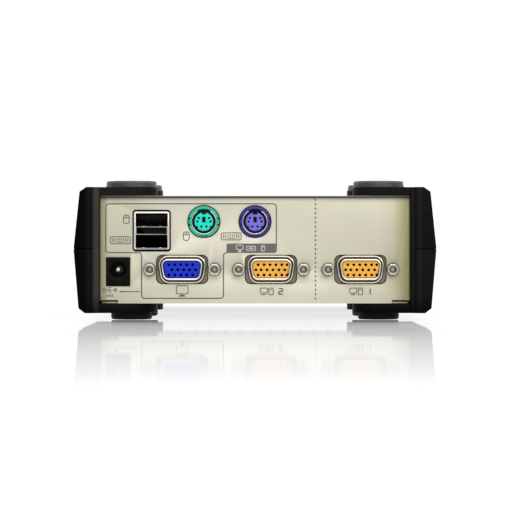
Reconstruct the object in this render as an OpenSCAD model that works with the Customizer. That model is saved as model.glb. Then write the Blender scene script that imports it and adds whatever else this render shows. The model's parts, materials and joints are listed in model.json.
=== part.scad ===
// Desktop switch that lets one keyboard, mouse and monitor serve two computers.
// A sheet metal case sits between two black moulded end caps. The caps' tongues reach over and under the
// case and carry round rubber pads on top and round rubber feet below, so that units stack.
// Frame: millimetres, +Z up, origin on the desk under the middle of the whole object. The connector panel
// faces -Y and the panel with the two push buttons faces +Y. Left and right are as seen from the -Y side.

/* [Case] */
// Width over the ridges of the two end caps
case_w = 140.2; // [139:0.2:144]
// Depth of the end caps
cap_d = 85; // [80:1:100]
// Width of the connector panel
panel_w = 120; // [119.6:0.2:120.4]
// How far the end caps stand out past both panels
cap_proud = 2.5; // [2:0.5:3.5]
// Wall thickness of the end caps
cap_wall = 2.2; // [1.8:0.1:2.6]
// Thickness of both panels
sheet = 1; // [0.8:0.1:1.2]
// Thickness of the tray's sheet
tray_sheet = 0.65; // [0.6:0.05:0.8]
// Thickness of the top cover's sheet
cover_sheet = 0.6; // [0.5:0.1:0.8]

/* [Pads and feet] */
// Distance from the centre plane to the pad centres
pad_x = 48.2; // [46:0.1:49]
// Distance between the front and the rear pads
pad_pitch = 60; // [50:1:64]
// Radius of a stacking pad at its top edge
pad_r = 9.8; // [9:0.1:10]
// Radius of a foot
foot_r = 8; // [7:0.1:8.1]
// Height of a foot
foot_h = 2.6; // [2:0.1:3]
// Height of a stacking pad
pad_h = 2.5; // [2.2:0.1:3]

/* [Connectors] */
// Height of the lower row of connectors above the desk
low_z = 19.5; // [19:0.1:20]
// Height of the two round sockets above the desk
din_z = 38; // [37.4:0.1:38.2]
// Height of the middle of the double USB socket
usb_z = 34.5; // [34.4:0.1:35]
// Left-right place of the power inlet
dc_x = -53; // [-54:0.1:-52]
// Left-right place of the double USB socket
usb_x = -40; // [-41:0.1:-38.5]
// Left-right place of the mouse socket
mouse_x = -19.8; // [-21:0.1:-19]
// Left-right place of the keyboard socket
keyboard_x = 0; // [-1:0.1:1]
// Left-right place of the monitor connector
console_x = -28.2; // [-28.8:0.1:-27.8]
// Left-right place of the second computer's connector
cpu_two_x = 6.2; // [5:0.1:7]
// Left-right place of the first computer's connector
cpu_one_x = 40.8; // [40:0.1:41.5]
// Distance between the two jackscrews of a connector
jack_pitch = 24.99; // [24.99:0.01:25]
// How far the connector shells stand out of the panel
plug_proud = 5; // [4.6:0.1:5.4]
// Radius of the power inlet's bore
dc_bore_r = 3.15; // [3:0.05:3.3]
// Radius of the power inlet's centre pin
dc_pin_r = 1; // [1:0.05:1.25]

/* [Buttons] */
// Left-right distance of each button from the centre plane
button_x = 20; // [18:0.5:22]
// Height of the buttons above the desk
button_z = 22; // [21:0.5:23]
// Width of a button
button_w = 14; // [12:0.5:15]
// Height of a button
button_h = 7; // [6:0.5:8]
// Travel of a button
travel = 1; // [0.5:0.1:1]

/* [Hidden] */
$fn = 64;

metal_c = [0.84, 0.82, 0.73];
plated_c = [0.78, 0.78, 0.76];
cap_c = [0.07, 0.07, 0.08];
rubber_c = [0.29, 0.30, 0.29];
board_c = [0.05, 0.30, 0.14];
chip_c = [0.12, 0.12, 0.13];
gold_c = [0.83, 0.68, 0.32];
blue_c = [0.15, 0.23, 0.92];
orange_c = [1.0, 0.67, 0.24];
green_c = [0.16, 0.80, 0.68];
violet_c = [0.50, 0.44, 0.90];

// Front-back places. The connector shells reach furthest back and the caps furthest forward.
y_back = -(cap_d - cap_proud + plug_proud) / 2;
y_rear = y_back + plug_proud;
y_cap_rear = y_rear - cap_proud;
y_cap_front = y_cap_rear + cap_d;
y_front = y_cap_front - cap_proud;
y_pad_mid = (y_cap_rear + y_cap_front) / 2;
pad_ys = [y_pad_mid - pad_pitch / 2, y_pad_mid + pad_pitch / 2];
y_rear_in = y_rear + sheet;
y_front_in = y_front - sheet;

// Heights
z_cap_low = foot_h;
z_tray = 6.35;
z_tray_in = z_tray + tray_sheet;
z_cap_top = 51.4;
z_cover = 48;
z_panel_top = z_cover - cover_sheet - 0.05;
z_mid = (z_cap_low + z_cap_top) / 2;
z_board = 13.1;
board_t = 1.6;
z_upper = 44.4;

// End cap
ear_x = panel_w / 2 + 0.2;
block_x = 62.4;
block_bevel = 0.9;
ear_step = 1.5;
lobe_r = pad_r + 0.4;
strip_x = 57;
fillet_r = 3;
seam_w = 0.3;
seam_d = 0.25;
z_ridge = z_mid + 0.5;
cap_peak_x = case_w / 2;
cap_outline = [
    [ear_x, z_cap_low], [cap_peak_x - 4.3, z_cap_low], [cap_peak_x - 1.9, z_cap_low + 1.9],
    [cap_peak_x, z_ridge], [cap_peak_x - 2.3, z_cap_top - 1.8], [cap_peak_x - 4.9, z_cap_top],
    [ear_x, z_cap_top]
];
cavity_k = 1 - 2 * cap_wall / (z_cap_top - z_cap_low);
cavity_outline = [for (p = cap_outline) [p[0] - cap_wall, z_mid + (p[1] - z_mid) * cavity_k]];

// Fasteners
screw_r = 1.5;
screw_gap = 0.02;
head_r = 2.8;
cover_screw_y = [-20, 22];
cover_screw_z = 11;
board_x = 56;
board_hole_x = 50;
board_hole_y = [-18, 24];
board_y = [y_rear_in + 1, 30];
upper_x = [-57, 11];
upper_y = [y_rear_in + 1, -5];
pillar_x = [-53, 9];
pillar_y = -9;
front_board_y = 32.4;

// D-shaped connectors
d_w = 16.7;
d_h = 8.1;
d_wall = 0.55;
d_r = 2.4;
d_slope = 10;
hd_cut_w = 20.3;
hd_cut_h = 11.4;
flange_w = 30.8;
flange_h = 12.4;
flange_t = 0.6;
pin_pitch = 2.29;
row_pitch = 1.98;
odd_shift = -0.43;
even_shift = odd_shift + pin_pitch / 2;
hole_r = 0.55;
tail_r = 0.3;
nose_recess = 0.5;
hole_depth = 4.2;
body_depth = 9.2;
jack_flat = 4.76;
jack_bore_r = 1.2;
jack_bore_depth = 4.5;
jack_shank_r = 1.4;

// Round sockets
din_ring_r = 6;
din_cut_r = 6.35;
din_proud = 0.6;
din_trench_r = 4.95;
din_insert_r = 3.65;
din_depth = 7;
din_block_w = 14;
din_block_h = 13.2;
din_block_d = 12.8;
din_pins = [[-2, 1.4], [2, 1.4], [-2.5, 0.05], [2.5, 0.05], [-1, -1.9], [1, -1.9]];

// Double USB socket
usb_w = 13.8;
usb_h = 14.8;
usb_proud = 0.6;
usb_depth = 17;
usb_wall = 0.35;
port_w = 12.25;
port_h = 5;
port_dz = 4.15;
tongue_w = 11;
tongue_t = 1.84;
tongue_len = 8.6;
port_depth = 9.6;
slot_w = port_w - 0.6;
slot_h = 2.5;

// Power inlet
dc_w = 9;
dc_h = 11;
dc_depth = 14.2;
dc_proud = 0.3;
dc_z_mid = z_board + dc_h / 2;
dc_bore_depth = 9.6;
dc_pin_recess = 1;

// Buttons
button_gap = 0.25;
button_proud = 1.8;
rim = 1.2;
rim_t = 0.95;
switch_y = front_board_y + board_t;
switch_h = 3.5;
plunger_r = 1.75;
plunger_gap = 0.05;
plunger_y = 36;
y_rim = y_front_in - 0.3 - rim_t;
light_dx = 3.5;
light_z = 31.5;
light_r = 1.5;

// --- helpers ---

// A 2D outline in X and Z, extruded from y0 to y1
module along_y(y0, y1) {
    translate([0, y1, 0]) rotate([90, 0, 0]) linear_extrude(y1 - y0) children();
}

module rod_y(x, z, r, y0, y1) {
    translate([x, y0, z]) rotate([-90, 0, 0]) cylinder(h = y1 - y0, r = r);
}

module rod_z(x, y, r, z0, z1) {
    translate([x, y, z0]) cylinder(h = z1 - z0, r = r);
}

module rod_x(y, z, r, x0, x1) {
    translate([x0, y, z]) rotate([0, 90, 0]) cylinder(h = x1 - x0, r = r);
}

module block(x, y, z) {
    translate([x[0], y[0], z[0]]) cube([x[1] - x[0], y[1] - y[0], z[1] - z[0]]);
}

module rounded(w, h, r) {
    square([w, h - 2 * r], center = true);
    square([w - 2 * r, h], center = true);
    for (sx = [-1, 1]) {
        for (sz = [-1, 1]) {
            translate([sx * (w / 2 - r), sz * (h / 2 - r)]) circle(r = r);
        }
    }
}

// Rounded D outline, wider at the top, grown all round by grow
module d_shape(grow = 0) {
    w = d_w / 2 + grow / cos(d_slope);
    h = d_h / 2 + grow;
    r = d_r + grow;
    low_w = w - 2 * h * tan(d_slope);
    top_x = w - r * (1 + sin(d_slope)) / cos(d_slope);
    low_x = low_w - r * (1 - sin(d_slope)) / cos(d_slope);
    nx = r * cos(d_slope);
    nz = r * sin(d_slope);
    for (s = [-1, 1]) {
        translate([s * top_x, h - r]) circle(r = r);
        translate([s * low_x, r - h]) circle(r = r);
    }
    polygon([
        [-top_x, h], [top_x, h], [top_x + nx, h - r - nz], [low_x + nx, r - h - nz], [low_x, -h],
        [-low_x, -h], [-low_x - nx, r - h - nz], [-top_x - nx, h - r - nz]
    ]);
}

module jack_holes(x, r) {
    for (s = [-1, 1]) {
        translate([x + s * jack_pitch / 2, low_z]) circle(r = r);
    }
}

// --- case ---

module base_tray() {
    color(plated_c) difference() {
        union() {
            block([-59.3, 59.3], [y_rear_in, y_front_in], [z_tray, z_tray_in]);
            for (s = [-1, 1]) {
                block(s > 0 ? [58.3, 59.3] : [-59.3, -58.3], [y_rear_in + 3, y_front_in - 3], [z_tray, 15]);
            }
            for (s = [-1, 1]) {
                for (y = pad_ys) {
                    rod_z(s * pad_x, y, 2.8, z_tray_in, z_tray_in + 1.8);
                }
            }
        }
        for (s = [-1, 1]) {
            for (y = pad_ys) {
                rod_z(s * pad_x, y, screw_r + screw_gap, z_tray - 1, z_tray_in + 3);
            }
            for (y = cover_screw_y) {
                rod_x(y, cover_screw_z, screw_r + screw_gap, s * 59 - 2, s * 59 + 2);
            }
        }
        for (i = [-5:5]) {
            block([i * 6 - 1, i * 6 + 1], [0, 18], [z_tray - 1, z_tray_in + 1]);
        }
    }
}

module top_cover() {
    side = panel_w / 2;
    color(metal_c) difference() {
        union() {
            block([-side, side], [y_rear, y_front], [z_cover - cover_sheet, z_cover]);
            for (s = [-1, 1]) {
                x = s > 0 ? [side - cover_sheet, side] : [-side, cover_sheet - side];
                block(x, [y_rear_in, y_front_in], [z_tray_in + 0.2, z_cover]);
            }
        }
        for (s = [-1, 1]) {
            for (y = cover_screw_y) {
                rod_x(y, cover_screw_z, 1.7, s * side - 1, s * side + 1);
            }
        }
    }
}

// Flat panel with its two lower corner notches and a lip that lies on the tray
module panel_blank(y0, lip_y) {
    notch_x = 53;
    notch_z = 7.65;
    along_y(y0, y0 + sheet) {
        difference() {
            translate([-panel_w / 2, z_tray]) square([panel_w, z_panel_top - z_tray]);
            for (s = [-1, 1]) {
                translate([s * (notch_x + 5), z_tray]) square([10, 2 * (notch_z - z_tray)], center = true);
            }
        }
    }
    block([-50, 50], lip_y, [z_tray_in, z_tray_in + sheet]);
}

module rear_panel() {
    color(metal_c) difference() {
        panel_blank(y_rear, [y_rear_in, y_rear_in + 5]);
        along_y(y_rear - 1, y_rear_in + 0.5) {
            translate([usb_x, usb_z]) rounded(usb_w + 1, usb_h + 1.4, 1.3);
            translate([mouse_x, din_z]) circle(r = din_cut_r);
            translate([keyboard_x, din_z]) circle(r = din_cut_r);
            translate([dc_x, dc_z_mid]) square([dc_w + 0.3, dc_h + 0.2], center = true);
            for (x = [console_x, cpu_two_x, cpu_one_x]) {
                translate([x, low_z]) rounded(hd_cut_w, hd_cut_h, 2.4);
                jack_holes(x, 1.6);
            }
        }
    }
}

module front_panel() {
    color(metal_c) difference() {
        panel_blank(y_front_in, [y_front_in - 5, y_front_in]);
        along_y(y_front_in - 0.5, y_front + 1) {
            for (s = [-1, 1]) {
                translate([s * button_x, button_z])
                    rounded(button_w + 2 * button_gap, button_h + 2 * button_gap, button_h / 2 + button_gap - 0.01);
                for (d = [-light_dx, light_dx]) {
                    translate([s * button_x + d, light_z]) circle(r = light_r + 0.1);
                }
            }
        }
    }
}

// Plan of a tongue pair: a strip along the case with a round-ended tongue at each pad
module tongue_plan() {
    difference() {
        union() {
            translate([strip_x, y_rear]) square([ear_x + 1 - strip_x, y_front - y_rear]);
            for (y = pad_ys) {
                translate([pad_x, y]) circle(r = lobe_r);
                translate([pad_x, y - lobe_r]) square([ear_x + 1 - pad_x, 2 * lobe_r]);
                for (s = [-1, 1]) {
                    translate([strip_x - fillet_r, y + s * (lobe_r + fillet_r / 2) - fillet_r / 2])
                        square([fillet_r + 1, fillet_r]);
                }
            }
        }
        for (y = pad_ys) {
            for (s = [-1, 1]) {
                translate([strip_x - fillet_r, y + s * (lobe_r + fillet_r)]) circle(r = fillet_r);
            }
        }
        translate([0, y_front]) square([100, 20]);
        translate([0, y_rear - 20]) square([100, 20]);
    }
}

// Side view cut that drops the ear strip below the end faces, with a bevel up to the outer block
module ear_rebate() {
    polygon([
        [ear_x - 3, y_cap_rear - 1], [block_x, y_cap_rear - 1], [block_x, y_cap_rear],
        [block_x - block_bevel, y_cap_rear + ear_step], [ear_x - 3, y_cap_rear + ear_step]
    ]);
    polygon([
        [ear_x - 3, y_cap_front + 1], [block_x, y_cap_front + 1], [block_x, y_cap_front],
        [block_x - block_bevel, y_cap_front - ear_step], [ear_x - 3, y_cap_front - ear_step]
    ]);
}

// Fine seam round the end faces and along the ridge, where the two halves of the mould met
module cap_seam() {
    difference() {
        block([block_x, cap_peak_x + 1], [y_cap_rear - 1, y_cap_front + 1],
              [z_ridge - seam_w / 2, z_ridge + seam_w / 2]);
        block([block_x - 1, cap_peak_x - seam_d], [y_cap_rear + seam_d, y_cap_front - seam_d],
              [z_ridge - 1, z_ridge + 1]);
    }
}

module end_cap() {
    color(cap_c) difference() {
        union() {
            difference() {
                along_y(y_cap_rear, y_cap_front) polygon(cap_outline);
                along_y(y_cap_rear + cap_wall + 0.5, y_cap_front - cap_wall - 0.5) polygon(cavity_outline);
                translate([0, 0, -1]) linear_extrude(60) ear_rebate();
            }
            translate([0, 0, z_cover]) linear_extrude(z_cap_top - z_cover) tongue_plan();
            translate([0, 0, z_cap_low]) linear_extrude(z_tray - z_cap_low) tongue_plan();
            for (y = [-24, y_pad_mid, 26.5]) {
                block([ear_x, cap_peak_x - 4], [y - 0.7, y + 0.7], [z_cap_low + 1, 9]);
                block([ear_x, cap_peak_x - 4], [y - 0.7, y + 0.7], [45, z_cap_top - 1]);
            }
        }
        for (y = pad_ys) {
            rod_z(pad_x, y, 5, z_cap_low - 1, z_cap_low + 1);
            rod_z(pad_x, y, head_r + 0.3, z_cap_low - 1, z_cap_low + 2.9);
            rod_z(pad_x, y, 1.7, z_cap_low - 1, z_tray + 1);
            rod_z(pad_x, y, 5, z_cap_top - 1, z_cap_top + 1);
        }
        cap_seam();
    }
}

module left_end_cap() {
    mirror([1, 0, 0]) end_cap();
}

module right_end_cap() {
    end_cap();
}

// Stacking pad with a shallow seat for the foot of the unit above, and a plug that sits in the tongue
module top_pad(x, y) {
    seat_r = foot_r + 0.2;
    seat_d = 1.2;
    color(rubber_c) translate([x, y, z_cap_top]) rotate_extrude() polygon([
        [0, -1], [4.95, -1], [4.95, 0], [pad_r + 0.4, 0], [pad_r, 0.7], [pad_r, pad_h - 0.5],
        [pad_r - 0.5, pad_h], [seat_r + 0.2, pad_h], [seat_r, pad_h - 0.2], [seat_r, pad_h - seat_d],
        [0, pad_h - seat_d]
    ]);
}

module foot(x, y) {
    color(rubber_c) translate([x, y, 0]) rotate_extrude() polygon([
        [0, 0], [foot_r - 0.5, 0], [foot_r, 0.5], [foot_r, foot_h], [4.95, foot_h], [4.95, foot_h + 1],
        [0, foot_h + 1]
    ]);
}

module top_pad_rear_left() {
    top_pad(-pad_x, pad_ys[0]);
}

module top_pad_rear_right() {
    top_pad(pad_x, pad_ys[0]);
}

module top_pad_front_left() {
    top_pad(-pad_x, pad_ys[1]);
}

module top_pad_front_right() {
    top_pad(pad_x, pad_ys[1]);
}

module foot_rear_left() {
    foot(-pad_x, pad_ys[0]);
}

module foot_rear_right() {
    foot(pad_x, pad_ys[0]);
}

module foot_front_left() {
    foot(-pad_x, pad_ys[1]);
}

module foot_front_right() {
    foot(pad_x, pad_ys[1]);
}

// One screw per bottom tongue, hidden by the foot, with a six-sided socket in its head
module cap_screws() {
    color(plated_c) for (s = [-1, 1]) {
        for (y = pad_ys) {
            difference() {
                union() {
                    rod_z(s * pad_x, y, head_r, z_cap_low + 1.1, z_cap_low + 2.9);
                    rod_z(s * pad_x, y, screw_r, z_cap_low + 2.8, z_tray_in + 2.6);
                }
                translate([s * pad_x, y, z_cap_low + 1]) cylinder(h = 1.1, r = 1.4, $fn = 6);
            }
        }
    }
}

module cover_screws() {
    side = panel_w / 2;
    color(plated_c) for (s = [-1, 1]) {
        for (y = cover_screw_y) {
            mirror([s > 0 ? 0 : 1, 0, 0]) difference() {
                union() {
                    rod_x(y, cover_screw_z, 2.6, side, side + 1.4);
                    rod_x(y, cover_screw_z, screw_r, side - 3.4, side + 0.1);
                }
                translate([side + 1.2, y, cover_screw_z]) cube([0.8, 2.6, 0.6], center = true);
                translate([side + 1.2, y, cover_screw_z]) cube([0.8, 0.6, 2.6], center = true);
            }
        }
    }
}

// --- boards ---

module main_board() {
    color(board_c) difference() {
        block([-board_x, board_x], board_y, [z_board - board_t, z_board]);
        for (s = [-1, 1]) {
            for (y = board_hole_y) {
                rod_z(s * board_hole_x, y, 1.6, z_board - 3, z_board + 1);
            }
        }
    }
}

module upper_board() {
    color(board_c) difference() {
        block(upper_x, upper_y, [z_upper, z_upper + board_t]);
        for (x = pillar_x) {
            rod_z(x, pillar_y, 1.6, z_upper - 1, z_upper + 3);
        }
    }
}

// Upright board that plugs into a strip on each of the two level boards
module riser_board() {
    color(board_c) block([-26, 2], [-14.8, -13.2], [z_board + 1.5, z_upper - 1.5]);
}

module front_board() {
    color(board_c) block([-34, 34], [front_board_y, switch_y], [10, 36]);
}

module board_standoffs() {
    color(gold_c) for (s = [-1, 1]) {
        for (y = board_hole_y) {
            translate([s * board_hole_x, y, z_tray_in]) difference() {
                cylinder(h = z_board - board_t - z_tray_in, r = 3, $fn = 6);
                translate([0, 0, 0.8]) cylinder(h = 6, r = screw_r + screw_gap);
            }
        }
    }
}

module board_pillars() {
    color(gold_c) for (x = pillar_x) {
        translate([x, pillar_y, z_board]) difference() {
            cylinder(h = z_upper - z_board, r = 2.9, $fn = 6);
            translate([0, 0, z_upper - z_board - 6]) cylinder(h = 7, r = screw_r + screw_gap);
        }
    }
}

module pan_screw(x, y, z, drop) {
    difference() {
        union() {
            rod_z(x, y, head_r, z, z + 1.7);
            rod_z(x, y, screw_r, z - drop, z + 0.1);
        }
        translate([x, y, z + 1.4]) cube([3, 0.6, 1], center = true);
        translate([x, y, z + 1.4]) cube([0.6, 3, 1], center = true);
    }
}

module board_screws() {
    color(plated_c) {
        for (s = [-1, 1]) {
            for (y = board_hole_y) {
                pan_screw(s * board_hole_x, y, z_board, 4.5);
            }
        }
        for (x = pillar_x) {
            intersection() {
                pan_screw(x, pillar_y, z_upper + board_t, 6);
                block([-100, 100], [-50, 50], [0, z_cover - cover_sheet - 0.1]);
            }
        }
    }
}

// Strips that hold the riser board, and the right-angle header of the front board
module board_headers() {
    color(chip_c) {
        for (z = [z_board, z_upper - 4]) {
            difference() {
                block([-27.5, 3.5], [-16.2, -11.8], [z, z + 4]);
                block([-26, 2], [-14.8, -13.2], z < z_mid ? [z + 1.5, z + 5] : [z - 1, z + 2.5]);
            }
        }
        block([-13, 13], [27, 29.6], [z_board, z_board + 2.6]);
        for (i = [0:9]) {
            rod_y(i * 2.54 - 11.43, z_board + 1.3, 0.32, 29.6, front_board_y);
        }
    }
}

// --- HD connectors ---

// Drawn metal shell: flange behind the panel, a low shoulder in the cut-out and the D-shaped collar
module hd_shell(x) {
    color(plated_c) difference() {
        union() {
            along_y(y_rear_in, y_rear_in + flange_t) translate([x, low_z]) rounded(flange_w, flange_h, 1);
            along_y(y_rear_in - 0.7, y_rear_in) translate([x, low_z]) d_shape(0.9);
            along_y(y_back, y_rear_in) translate([x, low_z]) d_shape();
        }
        along_y(y_back - 1, y_rear_in + 2) translate([x, low_z]) d_shape(-d_wall);
        along_y(y_rear, y_rear_in + 2) jack_holes(x, jack_shank_r + 0.05);
    }
}

function hd_row(row, extra) = let (
    even = row == 1,
    shift = even ? even_shift : odd_shift,
    base = [for (i = [-2:2]) shift + i * pin_pitch],
    spare = even ? base[0] - row_pitch : base[4] + row_pitch
) extra ? concat(base, [spare]) : base;

function hd_z(row) = low_z - 0.15 + (1 - row) * row_pitch;

// Insulator: a nose that fills the collar and a block behind the flange, with one hole for each contact
module hd_insulator(x, extra) {
    y_face = y_back + nose_recess;
    y_end = y_rear_in + flange_t + body_depth;
    difference() {
        union() {
            along_y(y_face, y_rear_in + flange_t) translate([x, low_z]) d_shape(-d_wall - 0.05);
            block([x - flange_w / 2, x + flange_w / 2], [y_rear_in + flange_t, y_end], [z_board, low_z + 6.2]);
        }
        for (s = [-1, 1]) {
            rod_y(x + s * jack_pitch / 2, low_z, jack_shank_r + 0.05, y_rear, y_rear_in + 6);
        }
        for (row = [0:2]) {
            for (px = hd_row(row, extra)) {
                rod_y(x + px, hd_z(row), hole_r, y_face - 1, y_face + hole_depth);
                rod_y(x + px, hd_z(row), tail_r, y_face, y_end + 1);
            }
        }
    }
}

// Contacts run back through the insulator and turn down to the board, the top row furthest back
module hd_contacts(x, extra) {
    y_tip = y_back + nose_recess + hole_depth - 0.3;
    y_end = y_rear_in + flange_t + body_depth;
    color(gold_c) for (row = [0:2]) {
        y_bend = y_end + 1.2 + (2 - row) * 1.9;
        for (px = hd_row(row, extra)) {
            rod_y(x + px, hd_z(row), tail_r, y_tip, y_bend);
            translate([x + px, y_bend, hd_z(row)]) sphere(r = tail_r);
            rod_z(x + px, y_bend, tail_r, z_board, hd_z(row));
        }
    }
}

// Hexagonal jackscrews with a threaded bore, and a shank through the panel into the insulator
module hd_jackscrews(x) {
    hex_r = jack_flat / 2 / cos(30);
    color(plated_c) for (s = [-1, 1]) {
        translate([x + s * jack_pitch / 2, 0, low_z]) difference() {
            union() {
                intersection() {
                    translate([0, y_rear, 0]) rotate([90, 0, 0])
                        cylinder(h = plug_proud - 0.1, r = hex_r, $fn = 6);
                    translate([0, y_rear, 0]) rotate([90, 0, 0])
                        cylinder(h = plug_proud - 0.1, r = hex_r - 0.12);
                }
                rod_y(0, 0, jack_shank_r, y_rear - 0.1, y_rear_in + 5.8);
            }
            rod_y(0, 0, jack_bore_r, y_rear - plug_proud - 1, y_rear - plug_proud + 0.1 + jack_bore_depth);
        }
    }
}

module console_shell() {
    hd_shell(console_x);
}

module console_insulator() {
    color(blue_c) hd_insulator(console_x, false);
}

module console_contacts() {
    hd_contacts(console_x, false);
}

module console_jackscrews() {
    hd_jackscrews(console_x);
}

module cpu_one_shell() {
    hd_shell(cpu_one_x);
}

module cpu_one_insulator() {
    color(orange_c) hd_insulator(cpu_one_x, true);
}

module cpu_one_contacts() {
    hd_contacts(cpu_one_x, true);
}

module cpu_one_jackscrews() {
    hd_jackscrews(cpu_one_x);
}

module cpu_two_shell() {
    hd_shell(cpu_two_x);
}

module cpu_two_insulator() {
    color(orange_c) hd_insulator(cpu_two_x, true);
}

module cpu_two_contacts() {
    hd_contacts(cpu_two_x, true);
}

module cpu_two_jackscrews() {
    hd_jackscrews(cpu_two_x);
}

// --- round sockets ---

// Housing that hangs from the upper board: a ring in the panel's hole and an insert inside a round trench
module din_housing(x) {
    y_face = y_rear - din_proud;
    difference() {
        union() {
            rod_y(x, din_z, din_ring_r, y_face, y_rear_in);
            block([x - din_block_w / 2, x + din_block_w / 2], [y_rear_in, y_rear_in + din_block_d],
                  [z_upper - din_block_h, z_upper]);
        }
        difference() {
            rod_y(x, din_z, din_trench_r, y_face - 1, y_face + din_depth);
            rod_y(x, din_z, din_insert_r, y_face + 0.8, y_face + din_depth + 1);
        }
        block([x - 0.8, x + 0.8], [y_face, y_face + 5], [din_z + 2.75, din_z + din_insert_r + 0.3]);
        block([x - 0.65, x + 0.65], [y_face, y_face + 6], [din_z - 0.3, din_z + 1.9]);
        for (s = [-1, 1]) {
            rod_y(x + s * 2.75, din_z - 2.2, 0.5, y_face, y_face + din_depth);
            for (dz = [-1.25, 1.25]) {
                block([x + s * 5.6 - 0.35, x + s * 5.6 + 0.35], [y_face - 1, y_face + 1.2],
                      [din_z + dz - 0.35, din_z + dz + 0.35]);
            }
        }
        block([x - 1.7, x + 1.7], [y_face - 1, y_face + 0.5], [din_z - 6.5, din_z - 5.3]);
        for (p = din_pins) {
            rod_y(x + p[0], din_z + p[1], 0.42, y_face, y_face + 5);
            rod_y(x + p[0], din_z + p[1], tail_r, y_face, y_rear_in + din_block_d + 1);
        }
    }
}

// Sprung sheet metal ring, open at the top
module din_shield(x) {
    y_face = y_rear - din_proud;
    color(plated_c) difference() {
        rod_y(x, din_z, din_trench_r - 0.05, y_face + 0.1, y_face + din_depth);
        rod_y(x, din_z, din_trench_r - 0.35, y_face - 1, y_face + din_depth + 1);
        along_y(y_face - 1, y_face + din_depth + 1) translate([x, din_z]) polygon([[0, 0], [-5, 8], [5, 8]]);
    }
}

// Contacts run back through the housing and turn up to the upper board
module din_contacts(x) {
    y_face = y_rear - din_proud;
    color(gold_c) for (i = [0:5]) {
        p = din_pins[i];
        y_bend = y_rear_in + din_block_d + 1.2 + floor((5 - i) / 2) * 1.5;
        rod_y(x + p[0], din_z + p[1], tail_r, y_face + 4.7, y_bend);
        translate([x + p[0], y_bend, din_z + p[1]]) sphere(r = tail_r);
        rod_z(x + p[0], y_bend, tail_r, din_z + p[1], z_upper);
    }
}

module mouse_housing() {
    color(green_c) din_housing(mouse_x);
}

module mouse_shield() {
    din_shield(mouse_x);
}

module mouse_contacts() {
    din_contacts(mouse_x);
}

module keyboard_housing() {
    color(violet_c) din_housing(keyboard_x);
}

module keyboard_shield() {
    din_shield(keyboard_x);
}

module keyboard_contacts() {
    din_contacts(keyboard_x);
}

// --- double USB socket ---

module usb_shell() {
    y_face = y_rear - usb_proud;
    color(plated_c) difference() {
        along_y(y_face, y_face + usb_depth) translate([usb_x, usb_z]) rounded(usb_w, usb_h, 0.9);
        along_y(y_face + usb_wall, y_face + usb_depth + 1)
            translate([usb_x, usb_z]) rounded(usb_w - 2 * usb_wall, usb_h - 2 * usb_wall, 0.6);
        along_y(y_face - 1, y_face + 1) translate([usb_x, usb_z]) {
            for (s = [-1, 1]) {
                translate([0, s * port_dz]) square([port_w, port_h], center = true);
            }
            square([slot_w, slot_h], center = true);
        }
        block([usb_x - 4, usb_x + 4], [y_face + 8, y_face + usb_depth + 1], [usb_z + 5, usb_z + 10]);
    }
}

// Black insulator: it fills the shell behind the face, with a port and a tongue for each socket
module usb_insulator() {
    y_face = y_rear - usb_proud + usb_wall;
    fill_w = usb_w - 2 * usb_wall - 0.1;
    fill_h = usb_h - 2 * usb_wall - 0.1;
    color(chip_c) {
        difference() {
            along_y(y_face, y_face + usb_depth - 1) translate([usb_x, usb_z]) rounded(fill_w, fill_h, 0.6);
            for (s = [-1, 1]) {
                along_y(y_face - 1, y_face + port_depth) translate([usb_x, usb_z + s * port_dz])
                    square([port_w, port_h], center = true);
            }
            along_y(y_face - 1, y_face + 1.5) translate([usb_x, usb_z]) square([slot_w, slot_h], center = true);
        }
        for (s = [-1, 1]) {
            block([usb_x - tongue_w / 2, usb_x + tongue_w / 2], [y_face + port_depth - tongue_len, y_face + port_depth],
                  [usb_z + s * port_dz + 0.25, usb_z + s * port_dz + 0.25 + tongue_t]);
        }
        block([usb_x - 3.9, usb_x + 3.9], [y_face + 9, y_face + usb_depth - 1], [usb_z + 7, z_upper]);
    }
}

module usb_contacts() {
    y_face = y_rear - usb_proud + usb_wall;
    color(gold_c) for (s = [-1, 1]) {
        for (x = [-3.5, -1, 1, 3.5]) {
            block([usb_x + x - 0.5, usb_x + x + 0.5], [y_face + 2.2, y_face + port_depth - 0.05],
                  [usb_z + s * port_dz, usb_z + s * port_dz + 0.25]);
        }
    }
}

// --- power inlet ---

module dc_housing() {
    y_face = y_rear - dc_proud;
    color(chip_c) difference() {
        block([dc_x - dc_w / 2, dc_x + dc_w / 2], [y_face, y_face + dc_depth], [z_board, z_board + dc_h]);
        rod_y(dc_x, low_z, dc_bore_r, y_face - 1, y_face + dc_bore_depth);
        rod_y(dc_x, low_z, 1.5, y_face, y_face + dc_depth + 1);
        block([dc_x - 1.3, dc_x + 1.3], [y_face + 3.6, y_face + dc_bore_depth], [low_z - 4, low_z]);
    }
}

module dc_pin() {
    y_face = y_rear - dc_proud;
    y_tip = y_face + dc_pin_recess;
    y_root = y_face + dc_bore_depth;
    color(plated_c) {
        translate([dc_x, y_tip, low_z]) rotate([-90, 0, 0]) cylinder(h = 0.4, r1 = dc_pin_r - 0.35, r2 = dc_pin_r);
        rod_y(dc_x, low_z, dc_pin_r, y_tip + 0.4, y_root);
        rod_y(dc_x, low_z, 1.48, y_root, y_face + dc_depth + 0.6);
    }
}

// Leaf that presses on the sleeve of a plug
module dc_spring() {
    y_face = y_rear - dc_proud;
    color(plated_c) {
        block([dc_x - 1.1, dc_x + 1.1], [y_face + 3.8, y_face + dc_bore_depth - 0.1], [low_z - 3.9, low_z - 3.6]);
        block([dc_x - 1.1, dc_x + 1.1], [y_face + 5.5, y_face + 7.5], [low_z - 3.6, low_z - 2.9]);
    }
}

// --- buttons and lights ---

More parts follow.
